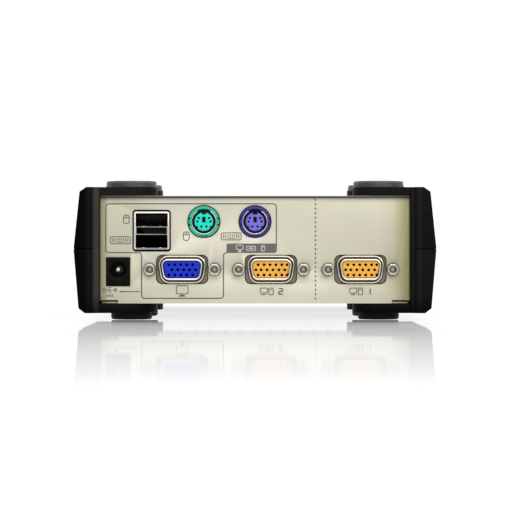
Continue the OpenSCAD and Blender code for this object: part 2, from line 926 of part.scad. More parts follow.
// Button with a rim behind the panel that keeps it in
module button(x) {
    color(chip_c) {
        along_y(y_rim, y_rim + rim_t) translate([x, button_z]) rounded(button_w + 2 * rim, button_h + 2 * rim, 1.5);
        difference() {
            along_y(y_rim + rim_t - 0.1, y_front + button_proud)
                translate([x, button_z]) rounded(button_w, button_h, button_h / 2 - 0.01);
            translate([x, y_front + button_proud + 38.6, button_z]) sphere(r = 39, $fn = 96);
        }
    }
}

module plunger(x) {
    color(orange_c) rod_y(x, button_z, plunger_r, plunger_y, y_rim);
}

module button_one() {
    button(button_x);
}

module button_two() {
    button(-button_x);
}

module plunger_one() {
    plunger(button_x);
}

module plunger_two() {
    plunger(-button_x);
}

module switch_bases() {
    color(chip_c) for (s = [-1, 1]) {
        difference() {
            block([s * button_x - 3.5, s * button_x + 3.5], [switch_y, switch_y + switch_h],
                  [button_z - 3.5, button_z + 3.5]);
            rod_y(s * button_x, button_z, plunger_r + plunger_gap, plunger_y - travel - 0.4, switch_y + switch_h + 1);
        }
    }
}

// Two lights over each button: one tells that its computer is on, the other that it is selected
module status_lights() {
    color(green_c) for (s = [-1, 1]) {
        for (d = [-light_dx, light_dx]) {
            rod_y(s * button_x + d, light_z, light_r, switch_y, y_front + 0.1);
            translate([s * button_x + d, y_front + 0.1, light_z]) sphere(r = light_r);
            rod_y(s * button_x + d, light_z, light_r + 0.4, switch_y, switch_y + 1);
        }
    }
}

// --- components on the boards ---

module flat_chip(x, y, size, leads, pitch) {
    translate([x, y, z_board]) {
        translate([-size / 2, -size / 2, 0.15]) cube([size, size, 1.4]);
        for (turn = [0:3]) {
            rotate([0, 0, 90 * turn]) for (i = [0:leads - 1]) {
                translate([(i - (leads - 1) / 2) * pitch - 0.15, -size / 2 - 1, 0]) cube([0.3, 1.2, 0.2]);
            }
        }
    }
}

module small_chip(x, y) {
    translate([x, y, z_board]) {
        translate([-2, -5, 0.15]) cube([4, 10, 1.6]);
        for (i = [0:7]) {
            translate([-3, (i - 3.5) * 1.27 - 0.2, 0]) cube([6, 0.4, 0.25]);
        }
    }
}

module controller_chip() {
    color(chip_c) flat_chip(22, 4, 14, 16, 0.8);
}

module support_chips() {
    color(chip_c) for (x = [-38, -28, -4, 40]) {
        small_chip(x, 8);
    }
}

module capacitors() {
    color([0.2, 0.24, 0.5]) for (p = [[-46, 2], [-46, 12], [-37, -6]]) {
        rod_z(p[0], p[1], 3.15, z_board, z_board + 8);
    }
}

module crystal() {
    color(plated_c) translate([6, 12, z_board]) {
        translate([0, 0, 0.3]) linear_extrude(3.2) rounded(10, 4.2, 2.09);
        linear_extrude(0.5) rounded(11, 4.8, 2.39);
    }
}

module voltage_regulator() {
    color(chip_c) {
        block([-45.5, -39], [-18.5, -12.5], [z_board + 0.6, z_board + 2.8]);
        block([-45.3, -39.2], [-18.5, -9.9], [z_board, z_board + 0.6]);
    }
}

module buzzer() {
    color(chip_c) translate([44, -6, z_board]) difference() {
        cylinder(h = 7.5, r = 6);
        translate([0, 0, 5]) cylinder(h = 3, r = 1);
    }
}

base_tray();
top_cover();
rear_panel();
front_panel();
left_end_cap();
right_end_cap();
top_pad_rear_left();
top_pad_rear_right();
top_pad_front_left();
top_pad_front_right();
foot_rear_left();
foot_rear_right();
foot_front_left();
foot_front_right();
cap_screws();
cover_screws();
main_board();
upper_board();
riser_board();
front_board();
board_standoffs();
board_pillars();
board_screws();
board_headers();
usb_shell();
usb_insulator();
usb_contacts();
mouse_housing();
mouse_shield();
mouse_contacts();
keyboard_housing();
keyboard_shield();
keyboard_contacts();
console_shell();
console_insulator();
console_contacts();
console_jackscrews();
cpu_one_shell();
cpu_one_insulator();
cpu_one_contacts();
cpu_one_jackscrews();
cpu_two_shell();
cpu_two_insulator();
cpu_two_contacts();
cpu_two_jackscrews();
dc_housing();
dc_pin();
dc_spring();
button_one();
button_two();
plunger_one();
plunger_two();
switch_bases();
status_lights();
controller_chip();
support_chips();
capacitors();
crystal();
voltage_regulator();
buzzer();
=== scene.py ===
import json
from math import atan2, cos, pi, radians, sin, tan

import bmesh
import bpy
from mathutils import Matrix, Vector


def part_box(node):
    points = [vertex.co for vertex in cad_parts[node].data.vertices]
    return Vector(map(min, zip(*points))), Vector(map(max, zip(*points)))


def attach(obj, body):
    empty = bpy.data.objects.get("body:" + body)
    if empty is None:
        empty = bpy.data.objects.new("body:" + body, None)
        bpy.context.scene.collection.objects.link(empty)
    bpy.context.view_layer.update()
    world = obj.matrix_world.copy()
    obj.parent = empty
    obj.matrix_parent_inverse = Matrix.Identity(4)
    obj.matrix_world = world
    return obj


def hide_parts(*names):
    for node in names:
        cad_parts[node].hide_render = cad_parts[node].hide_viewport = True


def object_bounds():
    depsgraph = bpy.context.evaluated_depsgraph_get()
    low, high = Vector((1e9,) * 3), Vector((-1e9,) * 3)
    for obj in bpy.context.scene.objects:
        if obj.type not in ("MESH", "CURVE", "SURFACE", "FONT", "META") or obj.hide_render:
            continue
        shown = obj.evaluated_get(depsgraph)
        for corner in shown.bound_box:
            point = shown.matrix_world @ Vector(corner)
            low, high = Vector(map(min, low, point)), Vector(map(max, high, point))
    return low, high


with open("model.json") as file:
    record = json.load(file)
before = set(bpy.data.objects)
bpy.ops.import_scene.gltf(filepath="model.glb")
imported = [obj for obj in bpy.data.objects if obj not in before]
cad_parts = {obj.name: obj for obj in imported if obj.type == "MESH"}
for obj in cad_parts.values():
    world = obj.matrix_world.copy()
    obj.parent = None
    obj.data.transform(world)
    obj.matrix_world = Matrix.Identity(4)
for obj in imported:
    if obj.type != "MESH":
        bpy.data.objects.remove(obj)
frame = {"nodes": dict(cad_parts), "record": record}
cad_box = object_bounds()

# The looks of the switch. Shapes are written in millimetres, in the frame's own axes, and become metres in
# piece(). The connector panel faces -Y, the button panel +Y. Pieces and signs take their places from the
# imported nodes' boxes, and the lines printed round the sockets have named places of their own.

MM = 0.001


# ---------------------------------------------------------------- places, from the frame

class Place:
    """A CAD node's box in millimetres."""

    def __init__(self, node):
        low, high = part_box(node)
        self.low = low / MM
        self.high = high / MM
        self.middle = (self.low + self.high) / 2


# The connector panel's outer and inner faces, and the button panel's outer face
PANEL_Y = Place("rear_panel").low.y
PANEL_IN_Y = PANEL_Y + 1
FRONT_Y = Place("front_panel").high.y
CASE_TOP = Place("top_cover").high.z
END_CAP = Place("left_end_cap")
CAP_TOP = END_CAP.high.z

# The sockets. Those of the lower row share one height, and so do the two round ones.
LOW_Z = Place("dc_pin").middle.z
DC_X = Place("dc_pin").middle.x
CONSOLE_X = Place("console_shell").middle.x
CPU_ONE_X = Place("cpu_one_shell").middle.x
CPU_TWO_X = Place("cpu_two_shell").middle.x
DIN_Z = Place("mouse_housing").middle.z
MOUSE_X = Place("mouse_shield").middle.x
KEYBOARD_X = Place("keyboard_shield").middle.x
USB = Place("usb_shell")


# ---------------------------------------------------------------- looks

class Tree:
    """Short calls for the nodes of a material or a world."""

    def __init__(self, tree):
        self.tree = tree

    def link(self, output, socket):
        self.tree.links.new(output, socket)

    def node(self, kind, inputs=None, **settings):
        """A node with its settings, and its inputs as links or as plain values."""
        made = self.tree.nodes.new("ShaderNode" + kind)
        for setting, value in settings.items():
            setattr(made, setting, value)
        for socket, value in (inputs or {}).items():
            if isinstance(value, bpy.types.NodeSocket):
                self.link(value, made.inputs[socket])
            else:
                made.inputs[socket].default_value = value
        return made

    def ramp(self, amount, stops):
        """Colours or greys along an amount from 0 to 1."""
        made = self.node("ValToRGB", {"Fac": amount})
        points = made.color_ramp.elements
        while len(points) < len(stops):
            points.new(0.5)
        for point, (at, colour) in zip(points, stops):
            point.position = at
            point.color = (*colour, 1) if hasattr(colour, "__len__") else (colour, colour, colour, 1)
        return made.outputs["Color"]

    def span(self, amount, low, high, from_low=0.3, from_high=0.7):
        """Low to high, as the amount goes from from_low to from_high. The defaults suit a noise."""
        ends = {"From Min": from_low, "From Max": from_high, "To Min": low, "To Max": high}
        return self.node("MapRange", {"Value": amount, **ends}).outputs["Result"]

    def mix(self, amount, first, second, blend="MIX"):
        """Two colours mixed; in a mix node of colours they are the sockets 6 and 7."""
        inputs = {0: amount, 6: first, 7: second}
        return self.node("Mix", inputs, data_type="RGBA", blend_type=blend).outputs[2]


class Look(Tree):
    """A material under construction: its shader, and the patterns that the looks share."""

    def __init__(self, name, **sockets):
        self.material = bpy.data.materials.new(name)
        self.material.use_nodes = True
        super().__init__(self.material.node_tree)
        self.shader = self.tree.nodes["Principled BSDF"]
        for socket, value in sockets.items():
            self.shader.inputs[socket.replace("_", " ")].default_value = value
        self.place = self.node("TexCoord").outputs["Object"]

    def noise(self, size_mm, detail=3.0, stretch=(1, 1, 1)):
        """Noise whose patches are about size_mm across."""
        spread = self.node("Mapping", {"Vector": self.place, "Scale": stretch})
        inputs = {"Vector": spread.outputs[0], "Scale": 1 / (size_mm * MM), "Detail": detail}
        return self.node("TexNoise", inputs).outputs["Fac"]

    def along(self, axis):
        """Place along one axis in millimetres."""
        parts = self.node("SeparateXYZ", {"Vector": self.place})
        return self.node("Math", {0: parts.outputs[axis], 1: 1 / MM}, operation="MULTIPLY").outputs[0]

    def bands(self, axis, stops):
        """Colours along an axis, each stop a place in millimetres and its colour."""
        low = stops[0][0]
        reach = stops[-1][0] - low
        amount = self.span(self.along(axis), 0, 1, low, low + reach)
        return self.ramp(amount, [((at - low) / reach, colour) for at, colour in stops])

    def crease(self, reach_mm, power):
        """1 on open surfaces, falling towards 0 in nooks narrower than the reach. The looks darken by it, a
        painted shade in the nooks.
        """
        nook = self.node("AmbientOcclusion", {"Distance": reach_mm * MM}, samples=6)
        return self.node("Math", {0: nook.outputs["AO"], 1: power}, operation="POWER").outputs[0]

    def colour(self, output):
        self.link(output, self.shader.inputs["Base Color"])

    def roughness(self, output):
        self.link(output, self.shader.inputs["Roughness"])

    def relief(self, height, depth_mm, strength, under=None):
        """Bumps depth_mm deep where the height goes from 0 to 1."""
        inputs = {"Height": height, "Distance": depth_mm * MM, "Strength": strength}
        if under is not None:
            inputs["Normal"] = under
        return self.node("Bump", inputs).outputs["Normal"]

    def normal(self, output):
        self.link(output, self.shader.inputs["Normal"])


def paint_look(name, height_shade, nook_shade=2.0):
    """Champagne paint: fine metal flakes under a satin surface with a trace of orange peel. Painted shade
    and reflection turn it olive beside the end caps, painted shade gives it the tones along Z, and painted
    shade darkens it where other parts stand on it."""
    look = Look(name, Metallic=0.35, Specular_IOR_Level=0.5)
    patches = look.noise(14, detail=2)
    base = look.ramp(patches, [(0.3, (0.705, 0.685, 0.540)), (0.7, (0.730, 0.695, 0.570))])
    flakes = look.ramp(look.noise(0.12, detail=1), [(0.35, 0.90), (0.75, 1.0)])
    base = look.mix(1.0, base, flakes, "MULTIPLY")
    # Painted shade along Z, from the given tones
    base = look.mix(1.0, base, look.bands("Z", height_shade), "MULTIPLY")
    # Painted shade and reflection of the end caps, along X
    base = look.mix(1.0, base, look.bands("X", END_SHADE), "MULTIPLY")
    # Painted shade: the paint darkens in nooks where other parts stand on it
    look.colour(look.mix(look.crease(0.8, nook_shade), (0.035, 0.032, 0.022, 1), base))
    look.roughness(look.span(look.noise(2.5), 0.36, 0.44))
    peel = look.relief(look.noise(0.7, detail=2), 0.012, 0.35)
    look.normal(look.relief(look.noise(0.12, detail=1), 0.006, 0.3, under=peel))
    return look.material


def plate_look(name, base, low, high, scratch=0.5, reach_mm=0.9, power=3.0, tones=None):
    """Plated or drawn metal: slight cloudiness, fine marks drawn out along the depth, painted shade in
    nooks, and the given tones of painted shade and reflection multiplied in.
    """
    look = Look(name, Metallic=1.0)
    cloud = look.noise(3, detail=4)
    plate = look.ramp(cloud, [(0.3, [0.88 * c for c in base]), (0.7, base)])
    # Painted shade and reflection from the given tones
    if tones:
        plate = look.mix(1.0, plate, tones(look), "MULTIPLY")
    # Painted shade: the metal darkens in nooks
    look.colour(look.mix(look.crease(reach_mm, power), [0.02 * c for c in base] + [1], plate))
    look.roughness(look.span(look.noise(0.5, detail=5), low, high))
    drawn = look.noise(0.15, detail=2, stretch=(1, 0.08, 1))
    look.normal(look.relief(drawn, 0.004, scratch))
    return look.material


def usb_shade(look):
    """Painted shade: the bars between the ports and the lower rim are darker than the upper rim and the
    sides.
    """
    x = USB.middle.x
    z = USB.middle.z
    shaded = look.bands("Z", [
        (z - 7.4, 0.42), (z - 6.7, 0.42), (z - 6.5, 1.0), (z - 2.5, 1.0), (z - 2.3, 0.45), (z, 0.45),
        (z + 1, 0.34), (z + 2.3, 0.34), (z + 2.5, 1.0), (z + 7.4, 1.0),
    ])
    sides = look.bands("X", [(x - 6.2, 1.0), (x - 6.0, 0.0), (x + 6.0, 0.0), (x + 6.2, 1.0)])
    return look.mix(1.0, shaded, sides, "LIGHTEN")


def moulded_look(name, base, roughness, grain_mm=0.35, strength=0.4, **sockets):
    """Moulded plastic or rubber: a fine even grain, a little change of tone and gloss, and painted shade in
    nooks.
    """
    look = Look(name, **sockets)
    tone = look.noise(6, detail=4)
    base = look.ramp(tone, [(0.3, [0.88 * c for c in base]), (0.7, base)])
    # Painted shade in nooks
    look.colour(look.mix(look.crease(0.8, 2.0), (0.002, 0.002, 0.002, 1), base))
    look.roughness(look.span(look.noise(1.8, detail=4), roughness - 0.05, roughness + 0.05))
    look.normal(look.relief(look.noise(grain_mm), 0.02, strength))
    return look.material


def cap_look():
    """Black moulded plastic with a fine grain. The ears beside the connector panel carry painted light and
    shade, greyer on the left ear than on the right, and painted shade darkens the undersides of the caps."""
    look = Look("cap_plastic", Specular_IOR_Level=0.03)
    front = look.span(look.along("Y"), 1, 0, END_CAP.low.y + 2, END_CAP.low.y + 3)
    # Painted light and shade on the ears beside the connector panel, along X
    base = look.mix(front, (0.010, 0.010, 0.0105, 1), look.bands("X", CAP_EAR_LIGHT_AND_SHADE))
    tone = look.ramp(look.noise(6, detail=4), [(0.3, 0.77), (0.7, 0.92)])
    # Painted shade, darker towards the caps' undersides
    under = look.bands("Z", [(END_CAP.low.z, 0.1), (END_CAP.low.z + 6.9, 1.0)])
    base = look.mix(1.0, base, under, "MULTIPLY")
    look.colour(look.mix(1.0, base, tone, "MULTIPLY"))
    look.roughness(look.span(look.noise(1.8, detail=4), 0.36, 0.46))
    look.normal(look.relief(look.noise(0.35), 0.02, 0.5))
    return look.material


def socket_look(name, outer, inner, centre_x):
    """Round socket of one colour: the ring is darker than the insert inside the shield, a painted shade,
    and painted shade darkens its hollows.
    """
    look = Look(name, Specular_IOR_Level=0.35)
    parts = look.node("SeparateXYZ", {"Vector": look.place})
    flat = look.node("CombineXYZ", {"X": parts.outputs["X"], "Z": parts.outputs["Z"]})
    centre = (centre_x * MM, 0, DIN_Z * MM)
    away = look.node("VectorMath", {0: flat.outputs[0], 1: centre}, operation="DISTANCE")
    edge = 3.65 * MM
    inside = look.span(away.outputs["Value"], 1, 0, edge, edge * 1.05)
    tone = look.ramp(look.noise(2.5), [(0.3, 0.90), (0.7, 1.0)])
    # Painted shade: the ring outside the insert's edge is darker
    base = look.mix(1.0, look.mix(inside, (*outer, 1), (*inner, 1)), tone, "MULTIPLY")
    # Painted shade in the socket's hollows and pin holes
    look.colour(look.mix(look.crease(1.6, 3.0), (0.001, 0.002, 0.002, 1), base))
    look.roughness(look.span(look.noise(1.2), 0.28, 0.38))
    look.normal(look.relief(look.noise(0.25), 0.01, 0.3))
    return look.material


def pad_look():
    """Grey rubber with painted light and shade: dark down by the cap and paler towards the pad's upper
    edge.
    """
    look = Look("pad_rubber", Specular_IOR_Level=0.45)
    # Painted shade by the cap, painted light towards the upper edge
    base = look.bands("Z", [
        (CAP_TOP, 0.010), (CAP_TOP + 1, 0.032), (CAP_TOP + 2, 0.072), (CAP_TOP + 2.5, 0.080),
    ])
    tone = look.ramp(look.noise(6, detail=4), [(0.3, (0.88, 0.90, 0.88)), (0.7, 1.0)])
    look.colour(look.mix(1.0, base, tone, "MULTIPLY"))
    look.roughness(look.span(look.noise(1.8, detail=4), 0.32, 0.42))
    look.normal(look.relief(look.noise(0.5), 0.02, 0.3))
    return look.material


def board_look():
    """Green solder mask with paler copper tracks under it."""
    look = Look("board", Specular_IOR_Level=0.5, Coat_Weight=0.3, Coat_Roughness=0.15)
    inputs = {"Vector": look.place, "Scale": 1 / (1.1 * MM)}
    cells = look.node("TexVoronoi", inputs, distance="MANHATTAN", feature="DISTANCE_TO_EDGE")
    track = (0.02, 0.16, 0.06)
    mask = (0.008, 0.075, 0.028)
    look.colour(look.ramp(cells.outputs["Distance"], [(0.05, track), (0.12, mask)]))
    look.roughness(look.span(look.noise(2), 0.3, 0.42))
    look.normal(look.relief(look.noise(0.3), 0.01, 0.3))
    return look.material


def lens_look():
    """Clear tinted lights: green for power and amber for selected. The two buttons are equally far from the
    case's middle, and each has the amber light on its +X side."""
    look = Look("light_lens", Transmission_Weight=0.45, IOR=1.49)
    across = look.node("SeparateXYZ", {"Vector": look.place}).outputs["X"]
    reach = Place("button_one").middle.x / 2 * MM
    beside = look.node("Math", {0: across, 1: reach, 2: -reach}, operation="WRAP")
    amber = look.node("Math", {0: beside.outputs[0], 1: 0.0}, operation="GREATER_THAN")
    tint = look.mix(amber.outputs[0], (0.10, 0.62, 0.20, 1), (0.90, 0.42, 0.06, 1))
    tone = look.ramp(look.noise(0.8), [(0.3, 0.85), (0.7, 1.0)])
    look.colour(look.mix(1.0, tint, tone, "MULTIPLY"))
    look.roughness(look.span(look.noise(0.4), 0.12, 0.22))
    return look.material


def ink_look(name, base):
    """Screen printed ink: slightly uneven cover with a dull surface."""
    look = Look(name)
    cover = look.noise(0.35, detail=4)
    look.colour(look.ramp(cover, [(0.25, base), (0.8, [min(1, 1.25 * c) for c in base])]))
    look.roughness(look.span(look.noise(0.5), 0.5, 0.65))
    return look.material


# The tones below stand in part for the studio's light, and would be flattened for use under other lights

# Painted shade of the paint along X: olive beside the end caps, where it stands for shade and the black
# caps' reflection, and clear in the middle
END_SHADE = [
    (-60, (0.375, 0.385, 0.27)), (-58.4, (0.47, 0.47, 0.36)), (-57.6, (0.54, 0.54, 0.41)),
    (-57.1, (0.75, 0.76, 0.71)), (-50, (0.80, 0.81, 0.77)), (-36, (0.94, 0.94, 0.94)),
    (0, (1.0, 1.0, 0.99)), (18, (0.98, 0.98, 0.97)), (34, (0.92, 0.92, 0.91)), (48, (0.84, 0.84, 0.82)),
    (53.5, (0.74, 0.73, 0.65)), (56.5, (0.53, 0.52, 0.38)), (58, (0.41, 0.40, 0.245)),
    (60, (0.38, 0.38, 0.23)),
]

# Painted shade of the paint along Z: the panel darkens up to the cover, and the cover darkens up its sides
# to a dark strip at their top edge
PANEL_SHADE = [
    (6, 0.96), (9, 1.0), (CASE_TOP - 3.2, 1.0), (CASE_TOP - 2.2, 0.91), (CASE_TOP - 1.8, 0.76),
    (CASE_TOP - 1.4, 0.56), (CASE_TOP - 1.15, 0.40), (CASE_TOP - 0.9, 0.22), (CASE_TOP - 0.7, 0.10),
]
COVER_SHADE = [(6, 1.0), (CASE_TOP - 0.85, 0.06), (CASE_TOP - 0.06, 0.06), (CASE_TOP - 0.01, 1.0)]
TRAY_TONES = [(6, 1.0), (16, 1.0)]

# Painted shade of the metal along Y: dark in the gap between shell and panel, and behind the jackscrews'
# faces;
# the shells' shoulders are cream, a painted reflection of the paint
SHELL_SHADE = [
    (PANEL_Y - 5, (1.0, 0.97, 0.92)), (PANEL_Y + 0.35, (0.97, 0.90, 0.76)),
    (PANEL_Y + 0.6, (0.50, 0.44, 0.32)), (PANEL_Y + 0.85, (0.12, 0.10, 0.06)),
    (PANEL_Y + 1.0, (0.34, 0.31, 0.21)),
]
JACK_SHADE = [
    (PANEL_Y - 5, 1.0), (PANEL_Y - 4.35, 1.0), (PANEL_Y - 4.1, 0.22), (PANEL_Y - 0.8, 0.22),
    (PANEL_Y - 0.5, 1.0),
]

# Painted light and shade of the end caps' ears along X, the left ear's first, which is lit greyer than the
# right
CAP_EAR_LIGHT_AND_SHADE = [
    (-71, 0.0006), (-65.6, 0.0010), (-64.8, (0.0056, 0.0056, 0.0046)), (-63.3, (0.0058, 0.0056, 0.0046)),
    (-62.8, 0.0025), (-62.3, (0.044, 0.043, 0.043)), (-61.0, (0.050, 0.048, 0.040)),
    (-60.3, (0.036, 0.035, 0.019)), (-59.9, 0.014), (-37, 0.014), (37, 0.009), (59.9, 0.009),
    (60.2, (0.008, 0.008, 0.004)), (61.3, (0.014, 0.013, 0.012)), (62.2, (0.005, 0.005, 0.0035)),
    (63.4, (0.012, 0.0125, 0.012)), (65, 0.0062), (71, 0.0060),
]

PAINT = paint_look("case_paint", COVER_SHADE)
PANEL_PAINT = paint_look("panel_paint", PANEL_SHADE)
TRAY_PAINT = paint_look("tray_paint", TRAY_TONES, nook_shade=0.3)
ZINC = plate_look("plated_steel", (0.62, 0.62, 0.60), 0.28, 0.42)
NICKEL = plate_look("bright_nickel", (0.97, 0.96, 0.93), 0.10, 0.20, 0.3, reach_mm=0.8, power=3.5)
SHELL = plate_look("shell_nickel", (0.98, 0.98, 0.98), 0.10, 0.20, 0.3, reach_mm=0.8, power=3.5,
                   tones=lambda look: look.bands("Y", SHELL_SHADE))
USB_NICKEL = plate_look("usb_nickel", (0.78, 0.77, 0.74), 0.16, 0.28, 0.3, reach_mm=0.8, power=2.0,
                        tones=usb_shade)
GOLD = plate_look("contact_metal", (0.86, 0.64, 0.28), 0.20, 0.32)
JACK = plate_look("jackscrew_nickel", (0.96, 0.90, 0.78), 0.12, 0.22, 0.3, reach_mm=1.4, power=3.0,
                  tones=lambda look: look.bands("Y", JACK_SHADE))
# Painted shade: a darker copy of the contact metal for the contacts sunk in the sockets, darkened further
# in nooks
SHADED_SUNK_GOLD = plate_look("shaded_sunk_contacts", (0.30, 0.22, 0.10), 0.45, 0.55, reach_mm=3.0, power=4.0)
CAP = cap_look()
RUBBER = pad_look()
SOLE = moulded_look("sole_rubber", (0.004, 0.004, 0.004), 0.5, grain_mm=0.5, strength=0.3,
                    Specular_IOR_Level=0.06)
BLACK = moulded_look("black_plastic", (0.0028, 0.0028, 0.0022), 0.32, grain_mm=0.2, strength=0.25,
                     Specular_IOR_Level=0.07)
BLUE = moulded_look("blue_plastic", (0.004, 0.027, 0.55), 0.38, grain_mm=0.2, strength=0.3,
                    Specular_IOR_Level=0.2)
ORANGE = moulded_look("orange_plastic", (0.85, 0.41, 0.040), 0.38, grain_mm=0.2, strength=0.3)
SLEEVE = moulded_look("can_sleeve", (0.02, 0.03, 0.14), 0.30)
BOARD = board_look()
GREEN = socket_look("green_plastic", (0.017, 0.47, 0.29), (0.004, 0.72, 0.55), MOUSE_X)
VIOLET = socket_look("violet_plastic", (0.035, 0.021, 0.27), (0.175, 0.143, 0.67), KEYBOARD_X)
LENS = lens_look()
INK = ink_look("dark_ink", (0.080, 0.073, 0.055))
BAR_INK = ink_look("bar_ink", (0.105, 0.095, 0.095))
PALE_INK = ink_look("pale_ink", (0.50, 0.49, 0.45))

# The look of each slot in the record, and the nodes that take another one
SLOT_LOOKS = {
    "case_paint": PAINT, "plated_steel": ZINC, "bright_nickel": NICKEL, "cap_plastic": CAP,
    "rubber": RUBBER, "board": BOARD, "black_plastic": BLACK, "contact_metal": GOLD, "blue_plastic": BLUE,
    "orange_plastic": ORANGE, "green_plastic": GREEN, "violet_plastic": VIOLET, "light_lens": LENS,
    "can_sleeve": SLEEVE,
}
NODE_LOOKS = {
    "rear_panel": PANEL_PAINT, "front_panel": PANEL_PAINT, "base_tray": TRAY_PAINT, "usb_shell": USB_NICKEL,
    "usb_contacts": SHADED_SUNK_GOLD, "dc_spring": SHADED_SUNK_GOLD,
    "mouse_contacts": SHADED_SUNK_GOLD, "keyboard_contacts": SHADED_SUNK_GOLD, "console_contacts": SHADED_SUNK_GOLD,
    "cpu_one_contacts": SHADED_SUNK_GOLD, "cpu_two_contacts": SHADED_SUNK_GOLD,
}


# ---------------------------------------------------------------- outlines and meshes

def rounded_path(corners, radii, closed=True, steps=6):
    """Path through 2D corners with an arc at each one; an open path keeps its two ends."""
    path = []
    count = len(corners)
    for i, corner in enumerate(corners):
        radius = radii[i] if hasattr(radii, "__len__") else radii
        if (not closed and i in (0, count - 1)) or radius == 0:
            path.append(tuple(corner))
            continue
        here = Vector(corner)
        back = (Vector(corners[i - 1]) - here).normalized()
        on = (Vector(corners[(i + 1) % count]) - here).normalized()
        half = back.angle(on) / 2
        centre = here + (back + on).normalized() * (radius / sin(half))
        start = here + back * (radius / tan(half)) - centre
        end = here + on * (radius / tan(half)) - centre
        first = atan2(start.y, start.x)
        turn = (atan2(end.y, end.x) - first + pi) % (2 * pi) - pi
        for k in range(steps + 1):
            angle = first + turn * k / steps
            path.append((centre.x + radius * cos(angle), centre.y + radius * sin(angle)))
    return path


def rectangle(x, z, w, h, r, steps=6):
    """Rectangle about x, z with corners of radius r."""
    left = x - w / 2
    right = x + w / 2
    top = z + h / 2
    bottom = z - h / 2
    return rounded_path([(left, top), (right, top), (right, bottom), (left, bottom)], r, steps=steps)


def d_outline(x, z, grow, steps):
    """The rounded D of an HD connector, wider at the top, grown all round."""
    width = 16.7
    height = 8.1
    corner = 2.4
    slope = radians(10)
    h = height / 2 + grow
    top = width / 2 + grow / cos(slope)
    low = top - 2 * h * tan(slope)
    corners = [(x - top, z + h), (x + top, z + h), (x + low, z - h), (x - low, z - h)]
    return rounded_path(corners, corner + grow, steps=steps)


def ring(x, z, radius, count):
    """Circle in X and Z whose first point is at the upper left, as the other outlines'."""
    turn = [3 * pi / 4 - 2 * pi * k / count for k in range(count)]
    return [(x + radius * cos(a), z + radius * sin(a)) for a in turn]


def at_y(outline, y):
    """An outline in X and Z, put at y."""
    return [(x, y, z) for x, z in outline]


def piece(name, points, faces, look, slot, body="case", stands_for=(), smooth=40):
    """A new piece from points in millimetres. It rides on a body and may stand for CAD nodes. Its surface
    is smooth wherever it turns by fewer degrees than smooth."""
    mesh = bpy.data.meshes.new(name)
    mesh.from_pydata([Vector(p) * MM for p in points], [], faces)
    work = bmesh.new()
    work.from_mesh(mesh)
    bmesh.ops.remove_doubles(work, verts=work.verts, dist=1e-7)
    bmesh.ops.recalc_face_normals(work, faces=work.faces)
    work.to_mesh(mesh)
    work.free()
    mesh.shade_smooth()
    mesh.set_sharp_from_angle(angle=radians(smooth))
    mesh.materials.append(look)
    obj = bpy.data.objects.new(name, mesh)
    bpy.context.scene.collection.objects.link(obj)
    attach(obj, body)
    if stands_for:
        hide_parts(*stands_for)


def skin_faces(loops, first, closed):
    """Faces from loop to loop, where first is the number of the run's first point."""
    size = len(loops[0])
    count = len(loops)
    faces = []
    for i in range(count if closed else count - 1):
        a = first + i * size
        b = first + (i + 1) % count * size
        for k in range(size):
            n = (k + 1) % size
            faces.append((a + k, a + n, b + n, b + k))
    if not closed:
        last = first + (count - 1) * size
        faces.append(tuple(range(first, first + size)))
        faces.append(tuple(range(last, last + size)))
    return faces


def skin(name, runs, look, closed=False, **settings):
    """One piece, its surface going from loop to loop of each run. An open run is capped at both ends, a
    closed one joins its ends."""
    points = []
    faces = []
    for loops in runs:
        faces += skin_faces(loops, len(points), closed)
        points += [p for loop in loops for p in loop]
    piece(name, points, faces, look, **settings)


def turned(name, x, y, profile, look, **settings):
    """Piece turned about an upright axis at x, y. The profile is (radius, z) and starts and ends near 0."""
    count = 96
    turn = [2 * pi * k / count for k in range(count)]
    loops = [[(x + radius * cos(a), y + radius * sin(a), z) for a in turn] for radius, z in profile]
    skin(name, [loops], look, **settings)


class Stencil:
    """Flat printed marks, gathered as shapes in X and Z, and laid on a panel as one thin piece."""

    def __init__(self):
        self.points = []
        self.faces = []

    def patch(self, outline):
        first = len(self.points)
        self.points += outline
        self.faces.append(tuple(range(first, first + len(outline))))

    def line(self, path, width, closed=False):
        """A ribbon along the path, mitred at its corners."""
        count = len(path)
        first = len(self.points)
        for i, point in enumerate(path):
            here = Vector(point)
            before = Vector(path[i - 1]) if closed or i > 0 else None
            after = Vector(path[(i + 1) % count]) if closed or i < count - 1 else None
            into = (here - before).normalized() if before else (after - here).normalized()
            out = (after - here).normalized() if after else into
            along = (into + out).normalized()
            across = Vector((-along.y, along.x)) * (width / 2 / max(0.5, along.dot(into)))
            self.points += [tuple(here + across), tuple(here - across)]
        for i in range(count if closed else count - 1):
            a = first + 2 * i
            b = first + 2 * ((i + 1) % count)
            self.faces.append((a, b, b + 1, a + 1))

    def lay(self, name, y, outward, look, lift=0.03, sink=0.01):
        """Lays the marks on the panel's face at y; outward is -1 or 1 along Y."""
        size = len(self.points)
        top = at_y(self.points, y + outward * lift)
        bottom = at_y(self.points, y - outward * sink)
        edges = {}
        for face in self.faces:
            for a, b in zip(face, face[1:] + face[:1]):
                key = (min(a, b), max(a, b))
                edges[key] = None if key in edges else (a, b)
        faces = self.faces + [tuple(size + i for i in reversed(face)) for face in self.faces]
        faces += [(e[1], e[0], size + e[0], size + e[1]) for e in edges.values() if e]
        piece(name, top + bottom, faces, look, slot="black_plastic", smooth=20)


# ---------------------------------------------------------------- CAD nodes that stay

def mesh_nodes(name):
    """Node group for a modifier, with its input and its output still to be joined."""
    group = bpy.data.node_groups.new(name, "GeometryNodeTree")
    group.interface.new_socket("Geometry", in_out="INPUT", socket_type="NodeSocketGeometry")
    group.interface.new_socket("Geometry", in_out="OUTPUT", socket_type="NodeSocketGeometry")
    return group, group.nodes.new("NodeGroupInput"), group.nodes.new("NodeGroupOutput")


